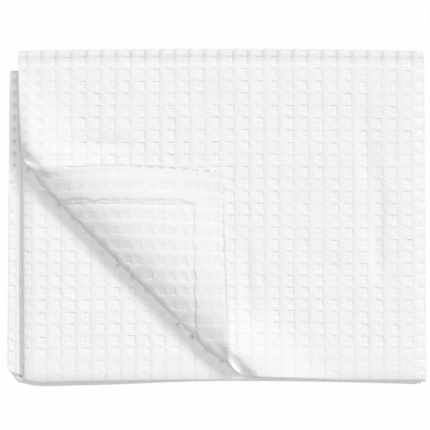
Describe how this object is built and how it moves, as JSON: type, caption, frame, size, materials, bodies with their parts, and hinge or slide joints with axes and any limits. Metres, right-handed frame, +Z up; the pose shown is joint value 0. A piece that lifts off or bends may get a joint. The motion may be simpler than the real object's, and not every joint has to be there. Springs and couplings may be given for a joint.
{
  "type": "bedspread",
  "caption": "White waffle-weave cotton bedspread, folded flat in a neat rectangular pack with one corner of its top sheet turned back in a soft roll.",
  "frame": {"origin": "on the surface it rests on, under the middle of the folded pack", "axes": "+X along the pack's longer side, to the right; +Y to the back of the pack; +Z up, out of its top sheet"},
  "size_m": [0.5794, 0.4676, 0.0707],
  "materials": {
    "cotton": "matt white waffle-weave cotton"
  },
  "bodies": {
    "root": {"bedspread": "cotton"}
  },
  "joints": []
}
